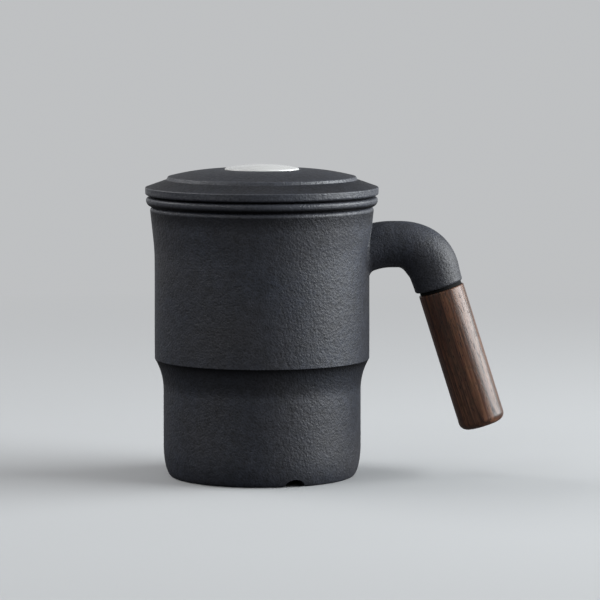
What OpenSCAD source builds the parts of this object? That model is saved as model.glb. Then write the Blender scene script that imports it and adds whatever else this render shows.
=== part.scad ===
// Lidded tea mug with a drop-in infuser and a wood grip on a ceramic elbow.
// Millimetres, +Z up. The origin is the mug's axis on the table, and the handle points along +X.

/* [Mug wall] */
// Radius of the lower wall
lower_r = 38.3; // [33:0.1:44]
// How far the upper wall stands out past the lower wall
step_w = 3.3; // [2:0.1:6]
// Thickness of the mug's wall
wall = 3.6; // [3:0.1:4.5]
// Height of the step's lip above the table
lip_z = 45.8; // [38:0.1:56]
// Radius of the cove under the step's lip
cove_r = 24; // [16:1:32]
// Rounding of the step's lip
lip_round = 0.5; // [0.2:0.1:0.8]
// Radius that eases the inner side of the step
step_ease_r = 8; // [5:1:12]
// Height at which the wall starts to lean out to the rim
flare_z = 88; // [80:0.5:95]
// Lean of the wall between the flare and the rim, in degrees
flare_angle = 6.1; // [4:0.1:8]
// Radius of the soft bend at the start of the flare
flare_ease_r = 75; // [50:5:100]
// Height of the rim's flat seat
rim_z = 104.7; // [101:0.1:120]
// Rounding of the rim's outer edge
rim_round = 1.5; // [0.6:0.1:1.7]
// Rounding of the rim's inner edge
rim_inner_round = 0.6; // [0.3:0.1:0.8]

/* [Mug floor and foot] */
// Thickness of the mug's floor
floor_t = 4.5; // [3.5:0.1:6]
// Rounding between the floor and the wall inside
floor_round = 9; // [5:0.5:14]
// Height of the hollow under the floor
foot_hollow = 3.4; // [2:0.1:3.8]
// Width of the ring that rests on the table
foot_w = 4.4; // [3:0.1:6]
// How far the foot's rounding draws in from the lower wall
foot_draw = 3.2; // [1:0.1:4]
// Height of the foot's outer rounding
foot_round_h = 12; // [5:0.5:18]
// Width of a drain notch at the table
notch_w = 8.6; // [4:0.1:10]
// Height of a drain notch
notch_h = 3; // [1.5:0.1:3.2]
// Number of drain notches
notch_n = 2; // [1:1:2]
// Direction of the first drain notch, counted from the handle, in degrees
notch_angle = -70; // [-75:1:-60]

/* [Infuser] */
// Gap between the infuser and the mug's upper wall
infuser_gap = 1; // [0.6:0.1:2]
// Gap between the infuser's bottom edge and the mug's lower wall
brew_gap = 6.4; // [4:0.1:9]
// Depth of the infuser below the mug's rim
infuser_depth = 64; // [50:1:72]
// Thickness of the infuser's wall
infuser_wall = 2.8; // [2.2:0.1:3.2]
// Thickness of the infuser's bottom
infuser_floor = 3; // [2.4:0.1:4]
// Outer rounding of the infuser's bottom edge
infuser_round = 9; // [6:0.5:11]
// How far the infuser's flange stands out past the mug's rim
flange_overhang = 1.4; // [0.8:0.1:3]
// Thickness of the infuser's flange
flange_t = 3.6; // [3.5:0.1:4.4]
// How far the rounding under the flange's edge reaches in
flange_under_w = 2.4; // [1:0.1:2.6]
// Height of the rounding under the flange's edge
flange_under_h = 2.4; // [1:0.1:2.4]
// Rounding of the flange's upper edge and of the infuser's mouth
flange_round = 1; // [0.3:0.1:1]

/* [Infuser holes] */
// Diameter of a hole
hole_d = 2; // [1.4:0.1:2.4]
// Holes in one row round the wall
hole_n = 24; // [16:1:30]
// Rows of holes in the wall
hole_rows = 7; // [3:1:8]
// Height between two rows
row_pitch = 5.6; // [4.5:0.1:6]
// Height of the lowest row above the infuser's bottom
row_first = 11; // [10:0.1:14]
// Rings of holes in the bottom, round the one in the middle
bottom_rings = 3; // [1:1:3]
// Distance between two rings of bottom holes
ring_pitch = 5.8; // [4:0.1:6]

/* [Lid] */
// How far the lid stands out past the infuser's flange
lid_overhang = 0.3; // [0:0.1:1.5]
// Height of the dark groove between the flange and the lid's edge
lid_reveal = 0.9; // [0.6:0.1:2.2]
// How far the groove reaches in from the lid's edge
reveal_depth = 2.8; // [2:0.1:4]
// Height of the lid's edge
lid_edge_h = 2.9; // [2:0.1:4]
// Rounding at the top of the lid's edge
lid_edge_round = 0.4; // [0.2:0.1:0.8]
// Rounding at the bottom of the lid's edge
lid_low_round = 0.8; // [0.2:0.1:1]
// Width of the sloping brim, from the lid's edge to the riser
brim_w = 8.2; // [5:0.1:11]
// Rise of the sloping brim
brim_rise = 2.9; // [1.5:0.1:4]
// Height of the riser between the brim and the dome
riser_h = 1.2; // [0.8:0.1:2.5]
// How far the riser leans in
riser_lean = 0.5; // [0.2:0.1:1]
// Rounding at the top of the riser
riser_round = 0.5; // [0.2:0.1:0.7]
// Rounding where the brim meets the riser
riser_foot_round = 0.5; // [0.3:0.1:0.8]
// Rise of the dome from the riser to the button
dome_rise = 2.8; // [2:0.1:5]
// Slope of the dome at the riser, in degrees
dome_slope = 14.5; // [12:0.5:20]
// Thickness of the lid under the button
lid_t = 4.2; // [3:0.1:5]
// Gap between the lid's skirt and the infuser's mouth
skirt_gap = 0.8; // [0.5:0.1:1.5]
// Length of the skirt below the lid's seat
skirt_h = 6.5; // [4:0.1:10]
// Thickness of the skirt
skirt_t = 3; // [2:0.1:4]
// Rounding inside the lid's hollow
hollow_round = 4; // [2:0.5:5]

/* [Button] */
// Radius of the white button
button_r = 14.4; // [10:0.1:18]
// Depth of the button's pocket in the lid
pocket_depth = 2.8; // [2:0.1:4]
// How far the button's edge stands above the pocket's edge
button_stand = 0.4; // [0:0.1:1]
// Rise of the button's crown above its edge
button_crown = 1.5; // [0.5:0.1:2.5]
// Gap between the button and its pocket
pocket_gap = 0.2; // [0.1:0.05:0.4]
// Rounding of the pocket's upper edge
pocket_round = 0.5; // [0.2:0.1:0.8]

/* [Handle elbow] */
// Height of the elbow's neck above the table
neck_z = 89.9; // [84:0.1:93]
// Radius of the neck
neck_r = 9; // [7:0.1:9.5]
// Length of the neck from the upper wall to the bend
neck_len = 11.1; // [10:0.1:20]
// Length over which the neck spreads to the wall
spread_len = 8.5; // [5:0.1:10]
// How far the neck spreads at the wall
spread_r = 0.45; // [0.2:0.05:1.2]
// How far the neck's middle drops at the wall
spread_drop = 1.5; // [0.5:0.1:1.8]
// Radius of the bend's centreline
bend_r = 14.6; // [12.5:0.1:20]
// How much thicker the bend is than its ends
bend_swell = 0.8; // [0:0.05:1.2]
// Length of the elbow after the bend
tail_len = 6.6; // [4:0.1:12]
// Radius of the elbow's end
tail_r = 9.5; // [8:0.1:10]
// Rounding of the elbow's end
tail_round = 0.8; // [0.2:0.1:1]

/* [Wood grip] */
// Lean of the grip from upright, in degrees
grip_tilt = 17.5; // [10:0.5:24]
// How far the grip's line lies outside the middle of the elbow's end
grip_shift = 0.4; // [0:0.1:0.8]
// Radius of the grip
grip_r = 9; // [8:0.1:10.5]
// Length of the grip
grip_len = 55.3; // [46:0.1:60]
// Rounding of the grip's free end
grip_end_round = 3; // [1:0.1:5]
// Rounding of the grip's end at the elbow
grip_top_round = 0.5; // [0.2:0.1:1]

/* [Grip fixing] */
// Radius of the stud
stud_r = 2.5; // [2:0.1:3]
// Length of the stud inside the elbow
stud_in_elbow = 12; // [8:0.5:14]
// Length of the stud inside the grip
stud_in_grip = 15; // [10:0.5:20]
// Gap round the stud, filled by its adhesive or its thread
stud_gap = 0.1; // [0.05:0.05:0.2]
// Wall of the threaded insert
insert_wall = 1.2; // [0.8:0.1:2]
// Length of the insert past the stud's end
insert_extra = 2; // [1:0.5:4]
// Thickness of the washer between the elbow and the grip
washer_t = 1.3; // [0.5:0.1:2]
// How far the washer's edge lies inside the elbow's end
washer_inset = 1.2; // [0.4:0.1:1.5]

/* [Hidden] */

ARC_STEPS = 8;       // straight pieces in one rounded corner
LONG_STEPS = 14;     // straight pieces in one long curve
LIP_STEPS = 5;       // straight pieces in the step's lip
SWEEP_SIDES = 48;    // corners of one ring of the elbow
NECK_RINGS = 9;      // rings of the elbow along its neck
BEND_RINGS = 18;     // rings of the elbow round its bend
END_RINGS = 3;       // rings of the elbow round the rounding of its end
CUT = 1;             // how far a cutting shape reaches past what it cuts
ROUND_FN = 96;       // corners of a turned shape or a bore
HOLE_FN = 24;        // corners of an infuser hole
CROWN_FN = 200;      // corners of the sphere behind the button's crown

STONEWARE = [0.19, 0.19, 0.2];
PORCELAIN = [0.95, 0.95, 0.94];
WALNUT = [0.3, 0.16, 0.11];
STEEL = [0.7, 0.71, 0.72];
BRASS = [0.78, 0.62, 0.3];
RUBBER = [0.08, 0.08, 0.08];

// Mug: inner radii, floor and step
floor_z = foot_hollow + floor_t;
contact_r = lower_r - foot_draw;
upper_r = lower_r + step_w;
lower_in = lower_r - wall;
upper_in = upper_r - wall;
cove_z = lip_z - sqrt(pow(cove_r, 2) - pow(cove_r - step_w, 2));
step_turn = acos(1 - step_w / (cove_r + wall + step_ease_r));
step_rise = (cove_r + wall + step_ease_r) * sin(step_turn);
flare_tangent = flare_ease_r * tan(flare_angle / 2);
notch_r = (pow(notch_w / 2, 2) + pow(notch_h, 2)) / (2 * notch_h);

// Infuser: it hangs by its flange on the rim's seat
flange_z = rim_z + flange_t;
flange_r = rim_line(rim_z) + flange_overhang;
infuser_z = rim_z - infuser_depth;
infuser_r = upper_in - infuser_gap;
infuser_bottom_r = lower_in - brew_gap;
infuser_lean = atan((infuser_r - infuser_bottom_r) / infuser_depth);
mouth_r = infuser_r - infuser_wall / cos(infuser_lean);

// Lid: its seat rests on the flange, and its skirt hangs in the infuser's mouth
lid_r = flange_r + lid_overhang;
lid_edge_z = flange_z + lid_reveal;
brim_z = lid_edge_z + lid_edge_h;
riser_z = brim_z + brim_rise;
riser_r = lid_r - brim_w;
brim_slope = atan(brim_rise / brim_w);
riser_slope = atan(riser_lean / riser_h);
dome_z = riser_z + riser_h;
dome_r = riser_r - riser_lean;
pocket_r = button_r + pocket_gap;
pocket_z = dome_z + dome_rise;
button_edge_z = pocket_z + button_stand;
pocket_floor_z = pocket_z - pocket_depth;
hollow_z = pocket_floor_z - lid_t;
skirt_r = mouth_r - skirt_gap;

// Handle: the bend's centre, and the middle of the elbow's end
bend_x = upper_r + neck_len;
bend_z = neck_z - bend_r;
bend_turn = 90 - grip_tilt;
tail_x = bend_x + bend_r * sin(bend_turn) + tail_len * sin(grip_tilt);
tail_z = bend_z + bend_r * cos(bend_turn) - tail_len * cos(grip_tilt);
bend_len = bend_r * bend_turn * PI / 180;
washer_r = tail_r - washer_inset;
insert_r = stud_r + stud_gap + insert_wall;
insert_len = stud_in_grip + insert_extra;

// Points along an arc, or along a quarter of an ellipse where rz is given
function arc(x, z, r, from, to, rz = undef, steps = ARC_STEPS) =
    [for (i = [0 : steps])
        let (a = from + (to - from) * i / steps)
        [x + r * cos(a), z + (is_undef(rz) ? r : rz) * sin(a)]];

// A rounded corner at x, z between two faces whose outward normals point at the angles from and to.
// A negative radius fills an inside corner.
function rounded(x, z, r, from, to, steps = ARC_STEPS) =
    let (pull = r / (1 + cos(from - to)))
    arc(x - pull * (cos(from) + cos(to)), z - pull * (sin(from) + sin(to)), r, from, to, undef, steps);

// Radius of the leaning wall below the rim, drawn in from the outer face by depth
function rim_line(z, depth = 0) =
    upper_r + (z - flare_z) * tan(flare_angle) - depth / cos(flare_angle);

// The mug's outer side, from the table to the rim's seat
function mug_outside() = concat(
    arc(contact_r, foot_round_h, foot_draw, -90, 0, foot_round_h, LONG_STEPS),
    arc(lower_r + cove_r, cove_z, cove_r, 180, 180 - cove_end(), undef, LONG_STEPS),
    lip(),
    arc(upper_r + flare_ease_r, flare_z - flare_tangent, flare_ease_r, 180, 180 - flare_angle),
    rounded(rim_line(rim_z), rim_z, rim_round, -flare_angle, 90)
);

// Angle at which the cove stops short of the lip, which leaves room for the lip's rounding
function cove_end() = acos((cove_r - step_w + lip_round) / (cove_r + lip_round));

// The rounded lip, from the cove's end to the upper wall
function lip() =
    let (top = cove_z + (cove_r + lip_round) * sin(cove_end()))
    arc(upper_r - lip_round, top, lip_round, -cove_end(), 0, undef, LIP_STEPS);

// The mug's inner side, from the rim's seat to the middle of the floor
function mug_inside() = concat(
    rounded(rim_line(rim_z, wall), rim_z, rim_inner_round, 90, 180 - flare_angle),
    arc(upper_r + flare_ease_r, flare_z - flare_tangent, flare_ease_r + wall, 180 - flare_angle, 180),
    arc(upper_in - step_ease_r, cove_z + step_rise, step_ease_r, 0, -step_turn),
    arc(lower_r + cove_r, cove_z, cove_r + wall, 180 - step_turn, 180),
    rounded(lower_in, floor_z, -floor_round, 180, 90, LONG_STEPS),
    [[0, floor_z]]
);

module mug_body() {
    color(STONEWARE)
    difference() {
        rotate_extrude($fn = ROUND_FN)
        polygon(concat(mug_outside(), mug_inside(), [[0, foot_hollow]], foot_inside()));
        for (i = [0 : notch_n - 1])
            rotate([0, 0, notch_angle + i * 360 / notch_n])
            translate([contact_r - foot_w - foot_hollow - CUT, 0, notch_h - notch_r])
            rotate([0, 90, 0])
            cylinder(h = foot_w + foot_hollow + foot_draw + 2 * CUT, r = notch_r, $fn = ROUND_FN);
    }
}

// The hollow under the floor, from its ceiling to the ring that rests on the table
function foot_inside() =
    arc(contact_r - foot_w - foot_hollow, 0, foot_hollow, 90, 0);

// One ring of the elbow: middle of the section, its turn from level, and its radii across and sideways
function elbow_ring(x, z, turn, r, side_r) =
    [for (i = [0 : SWEEP_SIDES - 1])
        let (a = 360 * i / SWEEP_SIDES)
        [x + r * cos(a) * sin(turn), side_r * sin(a), z + r * cos(a) * cos(turn)]];

// Radius of the elbow at a length along its bend and tail, without and with the bend's swell
function elbow_side_r(at) = neck_r + (tail_r - neck_r) * at / (bend_len + tail_len);
function elbow_r(at) = elbow_side_r(at) + bend_swell * pow(sin(180 * at / (bend_len + tail_len)), 2);

// How strongly the neck spreads at x, from 0 at the neck to 1 at the wall
function spread(x) = pow(max(0, upper_r + spread_len - x) / spread_len, 2);

function elbow_rings() = concat(
    [for (i = [0 : NECK_RINGS - 1])
        let (x = upper_in + (bend_x - upper_in) * i / NECK_RINGS,
             r = neck_r + spread_r * spread(x))
        elbow_ring(x, neck_z - spread_drop * spread(x), 0, r, r)],
    [for (i = [0 : BEND_RINGS])
        let (turn = bend_turn * i / BEND_RINGS, at = bend_len * i / BEND_RINGS)
        elbow_ring(bend_x + bend_r * sin(turn), bend_z + bend_r * cos(turn), turn,
                   elbow_r(at), elbow_side_r(at))],
    [for (left = [tail_len * 2 / 3, tail_len / 3]) tail_ring(left, 0)],
    [for (i = [0 : END_RINGS])
        let (a = 90 * i / END_RINGS)
        tail_ring(tail_round * (1 - sin(a)), tail_round * (1 - cos(a)))]
);

// A ring of the elbow's straight tail, at a length short of its end, and drawn in by its rounding
function tail_ring(left, draw) =
    let (at = bend_len + tail_len - left)
    elbow_ring(tail_x - left * sin(grip_tilt), tail_z + left * cos(grip_tilt), bend_turn,
               elbow_r(at) - draw, elbow_side_r(at) - draw);

// A closed skin over rings with the same number of corners
module skin(rings) {
    n = len(rings[0]);
    last = len(rings) - 1;
    polyhedron(
        points = [for (ring = rings) each ring],
        faces = concat(
            [[for (i = [n - 1 : -1 : 0]) i]],
            [for (k = [0 : last - 1], i = [0 : n - 1])
                let (j = (i + 1) % n)
                each [[k * n + i, (k + 1) * n + j, (k + 1) * n + i],
                      [k * n + i, k * n + j, (k + 1) * n + j]]],
            [[for (i = [0 : n - 1]) last * n + i]]
        ),
        convexity = 4
    );
}

// Places a piece on the grip's line: zero at the elbow's end, +Z towards the grip's free end
module on_grip_line(offset = 0) {
    translate([tail_x, 0, tail_z])
    rotate([0, 180 - grip_tilt, 0])
    translate([-grip_shift, 0, offset])
    children();
}

module handle_elbow() {
    color(STONEWARE)
    difference() {
        skin(elbow_rings());
        rotate_extrude($fn = ROUND_FN)
        polygon(concat([[0, 0]], mug_outside(), [[0, rim_z]]));
        on_grip_line(-stud_in_elbow)
        cylinder(h = stud_in_elbow + CUT, r = stud_r + stud_gap, $fn = ROUND_FN);
    }
}

module grip_stud() {
    color(STEEL)
    on_grip_line(-stud_in_elbow)
    cylinder(h = stud_in_elbow + washer_t + stud_in_grip, r = stud_r, $fn = ROUND_FN);
}

module grip_washer() {
    color(RUBBER)
    on_grip_line()
    difference() {
        cylinder(h = washer_t, r = washer_r, $fn = ROUND_FN);
        translate([0, 0, -CUT])
        cylinder(h = washer_t + 2 * CUT, r = stud_r + stud_gap, $fn = ROUND_FN);
    }
}

module wood_grip() {
    color(WALNUT)
    on_grip_line(washer_t)
    difference() {
        rotate_extrude($fn = ROUND_FN)
        polygon(concat(
            [[0, 0]],
            rounded(grip_r, 0, grip_top_round, -90, 0),
            rounded(grip_r, grip_len, grip_end_round, 0, 90),
            [[0, grip_len]]
        ));
        translate([0, 0, -CUT])
        cylinder(h = insert_len + CUT, r = insert_r, $fn = ROUND_FN);
    }
}

module grip_insert() {
    color(BRASS)
    on_grip_line(washer_t)
    difference() {
        cylinder(h = insert_len, r = insert_r, $fn = ROUND_FN);
        translate([0, 0, -CUT])
        cylinder(h = stud_in_grip + CUT, r = stud_r + stud_gap, $fn = ROUND_FN);
    }
}

module infuser_shell() {
    inner_z = infuser_z + infuser_floor;
    inner_r = infuser_bottom_r + infuser_floor * tan(infuser_lean) - infuser_wall / cos(infuser_lean);
    rotate_extrude($fn = ROUND_FN)
    polygon(concat(
        [[0, inner_z]],
        rounded(inner_r, inner_z, infuser_wall - infuser_round, 90, 180 - infuser_lean, LONG_STEPS),
        [[mouth_r, rim_z]],
        rounded(mouth_r, flange_z, flange_round, 180, 90),
        rounded(flange_r, flange_z, flange_round, 90, 0),
        arc(flange_r - flange_under_w, rim_z + flange_under_h, flange_under_w, 0, -90, flange_under_h),
        [[infuser_r, rim_z]],
        rounded(infuser_bottom_r, infuser_z, infuser_round, -infuser_lean, -90, LONG_STEPS),
        [[0, infuser_z]]
    ));
}

// Holes in the wall, in rows that are turned by half a pitch from one to the next
module wall_holes() {
    for (row = [0 : hole_rows - 1], i = [0 : hole_n - 1])
        rotate([0, 0, (i + (row % 2) / 2) * 360 / hole_n])
        translate([infuser_bottom_r / 2, 0, infuser_z + row_first + row * row_pitch])
        rotate([0, 90, 0])
        cylinder(h = infuser_r, r = hole_d / 2, $fn = HOLE_FN);
}

// Holes in the bottom: one in the middle, and rings with six more holes each time
module bottom_holes() {
    for (ring = [0 : bottom_rings], i = [0 : max(1, 6 * ring) - 1])
        rotate([0, 0, i * 360 / max(1, 6 * ring)])
        translate([ring * ring_pitch, 0, infuser_z - CUT])
        cylinder(h = infuser_floor + 2 * CUT, r = hole_d / 2, $fn = HOLE_FN);
}

module infuser_cup() {
    color(STONEWARE)
    difference() {
        infuser_shell();
        wall_holes();
        bottom_holes();
    }
}

// The dome's top line, from the pocket to just short of the riser: an arc with a given slope there
function dome_line() =
    let (run = dome_r - pocket_r,
         chord_slope = atan(dome_rise / run),
         turn = 2 * (dome_slope - chord_slope),
         r = sqrt(pow(run, 2) + pow(dome_rise, 2)) / (2 * sin(turn / 2)),
         line = arc(dome_r - r * sin(dome_slope), dome_z - r * cos(dome_slope), r,
                    90 - dome_slope + turn, 90 - dome_slope, undef, LONG_STEPS))
    [for (i = [1 : len(line) - 2]) line[i]];

module lid() {
    color(STONEWARE)
    rotate_extrude($fn = ROUND_FN)
    polygon(concat(
        [[0, pocket_floor_z], [pocket_r, pocket_floor_z]],
        rounded(pocket_r, pocket_z, pocket_round, 180, 90),
        dome_line(),
        rounded(dome_r, dome_z, riser_round, 90 - dome_slope, riser_slope),
        rounded(riser_r, riser_z, -riser_foot_round, riser_slope, 90 - brim_slope),
        rounded(lid_r, brim_z, lid_edge_round, 90 - brim_slope, 0),
        rounded(lid_r, lid_edge_z, lid_low_round, 0, -90),
        [[lid_r - reveal_depth, lid_edge_z], [lid_r - reveal_depth, flange_z], [skirt_r, flange_z]],
        arc(skirt_r - skirt_t / 2, flange_z - skirt_h, skirt_t / 2, 0, -180),
        rounded(skirt_r - skirt_t, hollow_z, -hollow_round, 180, 270),
        [[0, hollow_z]]
    ));
}

module lid_button() {
    crown_r = (pow(button_r, 2) + pow(button_crown, 2)) / (2 * button_crown);
    color(PORCELAIN)
    intersection() {
        translate([0, 0, pocket_floor_z])
        cylinder(h = pocket_depth + button_stand + button_crown + CUT, r = button_r, $fn = ROUND_FN);
        translate([0, 0, button_edge_z + button_crown - crown_r])
        sphere(r = crown_r, $fn = CROWN_FN);
    }
}

mug_body();
handle_elbow();
grip_stud();
grip_washer();
wood_grip();
grip_insert();
infuser_cup();
lid();
lid_button();
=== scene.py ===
"""Dresses the lidded tea mug: glazed stoneware, a wood grip, a white button, a plain studio."""
import math

import bpy
from bpy.props import FloatProperty, FloatVectorProperty, IntProperty, PointerProperty
from mathutils import Matrix, Vector, noise


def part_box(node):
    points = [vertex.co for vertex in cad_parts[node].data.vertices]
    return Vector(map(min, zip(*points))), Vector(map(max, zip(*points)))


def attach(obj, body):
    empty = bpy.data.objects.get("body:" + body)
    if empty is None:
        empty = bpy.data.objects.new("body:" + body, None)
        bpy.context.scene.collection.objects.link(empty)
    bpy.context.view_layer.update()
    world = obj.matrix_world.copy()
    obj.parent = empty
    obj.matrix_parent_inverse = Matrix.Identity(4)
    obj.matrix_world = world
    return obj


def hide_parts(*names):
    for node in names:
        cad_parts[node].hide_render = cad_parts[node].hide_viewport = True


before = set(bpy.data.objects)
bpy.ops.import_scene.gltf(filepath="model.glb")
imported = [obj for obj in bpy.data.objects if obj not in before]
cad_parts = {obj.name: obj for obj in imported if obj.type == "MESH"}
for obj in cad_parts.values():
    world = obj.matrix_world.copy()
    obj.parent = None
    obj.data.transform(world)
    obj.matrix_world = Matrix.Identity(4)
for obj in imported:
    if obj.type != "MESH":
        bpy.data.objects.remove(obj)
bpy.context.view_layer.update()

bl_info = {
    "name": "Lidded Tea Mug",
    "version": (1, 0, 0),
    "blender": (4, 5, 0),
    "location": "3D View > Sidebar > Tea Mug",
    "description": "Builds the visible pieces of a stoneware tea mug, and a plain studio",
    "category": "Add Mesh",
}

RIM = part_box("mug_body")[1].z            # height of the mug's rim
LID_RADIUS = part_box("lid")[1].x
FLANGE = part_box("infuser_cup")[1]        # x: the flange's radius, z: its height
BUTTON_LOW, BUTTON_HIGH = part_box("lid_button")

WIDE_STEP, FINE_STEP = 0.003, 0.002      # longest stretch between two rings of a turned piece
MUG_SIDES, LID_SIDES, GRIP_SIDES, BUTTON_SIDES, ELBOW_SIDES = 224, 256, 128, 160, 96
NOTCH_SIDES = 44                         # sides across one drain notch
WAVE = 0.022                             # width of one wave of the hand-finished walls
TOUCHING = 1e-7                          # two points closer than this are one
SUNK = 0.00005                           # how far the elbow's root reaches into the wall
SMALL_ROUND = 0.0004                     # rounding of the foot ring's inner edge
BUTTON_FOOT_ROUND = 0.0003               # rounding of the button's hidden lower edge


# --- Settings ---

def length(name, default, description):
    return FloatProperty(name=name, description=description, default=default, min=0.0,
                         unit="LENGTH")


def turn(name, degrees, description):
    return FloatProperty(name=name, description=description, default=math.radians(degrees),
                         subtype="ANGLE")


def power(name, default, description):
    return FloatProperty(name=name, description=description, default=default, min=0.0,
                         unit="POWER")


def share(name, default, description):
    return FloatProperty(name=name, description=description, default=default, min=0.0, max=1.0,
                         subtype="FACTOR")


def colour(name, default, description):
    return FloatVectorProperty(name=name, description=description, default=default, size=3,
                               min=0.0, max=1.0, subtype="COLOR")


class MugShape(bpy.types.PropertyGroup):
    """Sizes of the mug's wall, step, rim and foot."""

    lower_radius: length("Lower radius", 0.0383, "Radius of the wall below the step")
    upper_radius: length("Upper radius", 0.0416, "Radius of the wall above the step")
    wall: length("Wall", 0.0036, "Thickness of the wall")
    lip_height: length("Lip height", 0.0458, "Height of the step's lip above the table")
    lip_round: length("Lip rounding", 0.0005, "Rounding of the step's lip")
    cove: length("Cove", 0.024, "Radius of the cove under the step's lip")
    step_ease: length("Step easing", 0.008, "Radius that eases the inner side of the step")
    flare_height: length("Flare height", 0.088, "Height at which the wall starts to lean out")
    flare_lean: turn("Flare lean", 6.1, "Lean of the wall below the rim")
    flare_ease: length("Flare easing", 0.075, "Radius of the soft bend where the flare starts")
    rim_round: length("Rim rounding", 0.0015, "Rounding of the rim's outer edge")
    rim_inner_round: length("Inner rim rounding", 0.0006, "Rounding of the rim's inner edge")
    floor_thickness: length("Floor", 0.0045, "Thickness of the floor")
    floor_round: length("Floor rounding", 0.009, "Rounding between the floor and the wall")
    foot_hollow: length("Foot hollow", 0.0034, "Height of the hollow under the floor")
    foot_width: length("Foot width", 0.0044, "Width of the ring that rests on the table")
    foot_draw: length("Foot draw", 0.0032, "How far the foot's rounding draws in")
    foot_round: length("Foot rounding", 0.012, "Height of the foot's outer rounding")
    notch_width: length("Notch width", 0.0086, "Width of a drain notch at the table")
    notch_height: length("Notch height", 0.003, "Height of a drain notch")
    notch_soft: length("Notch softness", 0.0003, "How softly the glaze rounds a notch's edge")
    notch_turn: turn("Notch turn", -70, "Direction of the first notch from the handle")
    notch_count: IntProperty(name="Notches", description="Number of drain notches", default=2,
                             min=1)
    unevenness: length("Unevenness", 0.00008, "How far the hand-finished wall strays from round")


class HandleShape(bpy.types.PropertyGroup):
    """Sizes of the ceramic elbow and the wood grip."""

    neck_height: length("Neck height", 0.0899, "Height of the neck's middle above the table")
    neck_radius: length("Neck radius", 0.009, "Radius of the neck")
    neck_length: length("Neck length", 0.0111, "Length of the neck from the wall to the bend")
    spread_length: length("Spread length", 0.0085, "Length over which the neck spreads to the wall")
    spread: length("Spread", 0.00045, "How far the neck spreads at the wall")
    spread_drop: length("Spread drop", 0.0015, "How far the neck's middle drops at the wall")
    fillet_top: length("Upper fillet", 0.0003, "Fillet of the neck's top at the wall")
    fillet_bottom: length("Lower fillet", 0.0018, "Fillet of the neck's underside at the wall")
    bend: length("Bend", 0.0146, "Radius of the bend's centreline")
    bend_swell: length("Bend swell", 0.0008, "How much thicker the bend is than its ends")
    tail_length: length("Tail length", 0.0066, "Length of the elbow after the bend")
    tail_radius: length("Tail radius", 0.0095, "Radius of the elbow's end")
    tail_round: length("Tail rounding", 0.0009, "Rounding of the elbow's end")
    washer: length("Washer", 0.0013, "Thickness of the washer between the elbow and the grip")
    grip_tilt: turn("Grip lean", 17.5, "Lean of the grip from upright")
    grip_shift: length("Grip shift", 0.0004, "How far the grip's line lies outside the elbow's end")
    grip_radius: length("Grip radius", 0.009, "Radius of the grip")
    grip_length: length("Grip length", 0.0553, "Length of the grip")
    grip_end_round: length("Grip end rounding", 0.003, "Rounding of the grip's free end")
    grip_top_round: length("Grip top rounding", 0.0005, "Rounding of the grip's end at the elbow")
    grip_bore: length("Grip bore", 0.0038, "Radius of the bore for the insert")
    grip_bore_depth: length("Grip bore depth", 0.017, "Depth of the bore for the insert")


class LidShape(bpy.types.PropertyGroup):
    """Sizes of the lid and its button."""

    seat_height: length("Seat height", 0.1083, "Height of the lid's seat on the flange")
    reveal: length("Reveal", 0.0009, "Height of the groove between the flange and the lid's edge")
    reveal_depth: length("Reveal depth", 0.0028, "How far the groove reaches in")
    edge_height: length("Edge height", 0.0029, "Height of the lid's edge")
    edge_round: length("Edge rounding", 0.0004, "Rounding at the top of the lid's edge")
    low_round: length("Low rounding", 0.0008, "Rounding at the bottom of the lid's edge")
    brim_width: length("Brim width", 0.0082, "Width of the sloping brim")
    brim_rise: length("Brim rise", 0.0029, "Rise of the sloping brim")
    riser_height: length("Riser height", 0.0012, "Height of the riser from the brim to the dome")
    riser_lean: length("Riser lean", 0.0005, "How far the riser leans in")
    riser_round: length("Riser rounding", 0.0005, "Rounding at the top of the riser")
    riser_foot_round: length("Riser foot rounding", 0.0005, "Rounding at the foot of the riser")
    dome_rise: length("Dome rise", 0.0028, "Rise of the dome from the riser to the button")
    dome_slope: turn("Dome slope", 14.5, "Slope of the dome at the riser")
    thickness: length("Thickness", 0.0042, "Thickness of the lid under the button")
    skirt_radius: length("Skirt radius", 0.03337, "Radius of the skirt that hangs in the infuser")
    skirt_height: length("Skirt height", 0.0065, "Length of the skirt's straight part")
    skirt_thickness: length("Skirt thickness", 0.003, "Thickness of the skirt")
    hollow_round: length("Hollow rounding", 0.004, "Rounding inside the lid's hollow")
    pocket_gap: length("Pocket gap", 0.0002, "Gap between the button and its pocket")
    pocket_depth: length("Pocket depth", 0.0028, "Depth of the button's pocket")
    pocket_round: length("Pocket rounding", 0.0005, "Rounding of the pocket's upper edge")
    button_stand: length("Button stand", 0.0004, "How far the button's edge stands proud")
    button_crown: length("Button crown", 0.0015, "Rise of the button's crown above its edge")
    button_round: length("Button rounding", 0.0006, "Rounding of the button's edge")


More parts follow.
